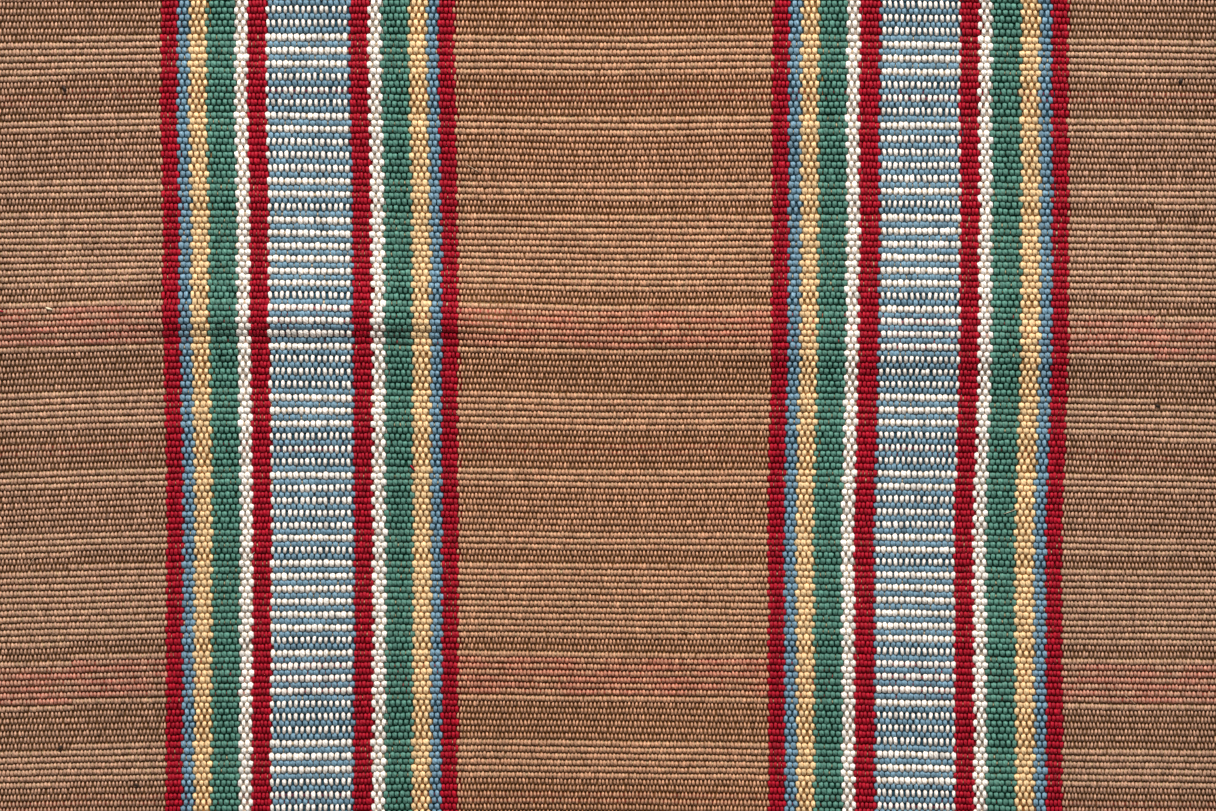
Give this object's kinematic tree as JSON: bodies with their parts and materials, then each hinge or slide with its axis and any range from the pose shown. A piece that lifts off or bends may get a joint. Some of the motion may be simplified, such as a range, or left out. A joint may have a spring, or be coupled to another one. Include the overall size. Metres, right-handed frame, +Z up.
{
  "type": "striped flat-woven rug",
  "caption": "Cut length of a warp-faced flat-woven rug: fine cross ribs, brown ground and lengthwise groups of coloured stripes, lying flat with a soft fold ridge.",
  "frame": {"origin": "middle of the bounding box at the underside, on the surface that the rug lies on", "axes": "+X along the weft, from the left selvedge to the right one; +Y along the warp and its stripes, towards the far cut end; +Z up, out of the upper face"},
  "size_m": [0.4866, 0.3298, 0.006],
  "materials": {
    "brown_yarn": "matte spun warp yarn, warm brown, in fine loops",
    "red_yarn": "matte spun warp yarn, crimson",
    "blue_yarn": "matte spun warp yarn, mid blue",
    "ochre_yarn": "matte spun warp yarn, pale ochre",
    "green_yarn": "matte spun warp yarn, deep green",
    "white_yarn": "matte spun warp yarn, off-white",
    "weft_yarn": "matte weft in bands of dark brown, cream, mid brown and rose, mostly hidden by the warp"
  },
  "bodies": {
    "root": {"woven_rug": "brown_yarn"}
  },
  "joints": []
}
